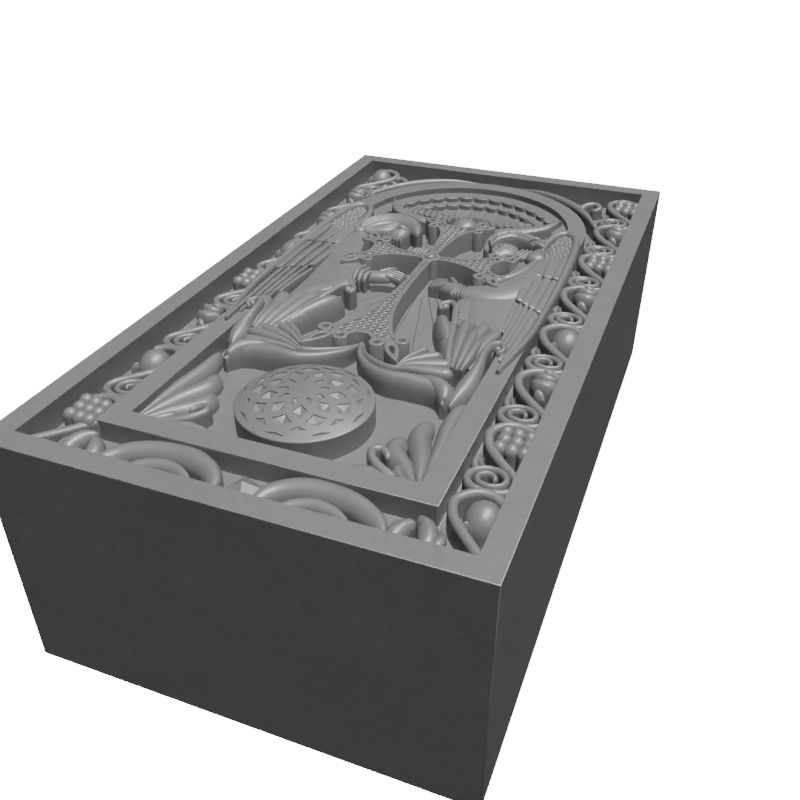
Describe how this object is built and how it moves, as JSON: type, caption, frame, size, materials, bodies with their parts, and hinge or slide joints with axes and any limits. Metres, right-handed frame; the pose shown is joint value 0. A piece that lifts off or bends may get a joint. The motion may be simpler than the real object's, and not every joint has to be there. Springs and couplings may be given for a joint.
{
  "type": "khachkar",
  "caption": "Carved stone slab with a winged cross in an arched panel, angels, a domed rosette, feathered leaves and vine borders, lying face up.",
  "frame": {"origin": "middle of the slab's underside", "axes": "+X to the slab's right seen from the front, +Y towards the slab's top, +Z out of the carved face"},
  "size_m": [1, 1.8, 0.5965],
  "materials": {
    "stone": null
  },
  "bodies": {
    "root": {"khachkar": "stone"}
  },
  "joints": []
}
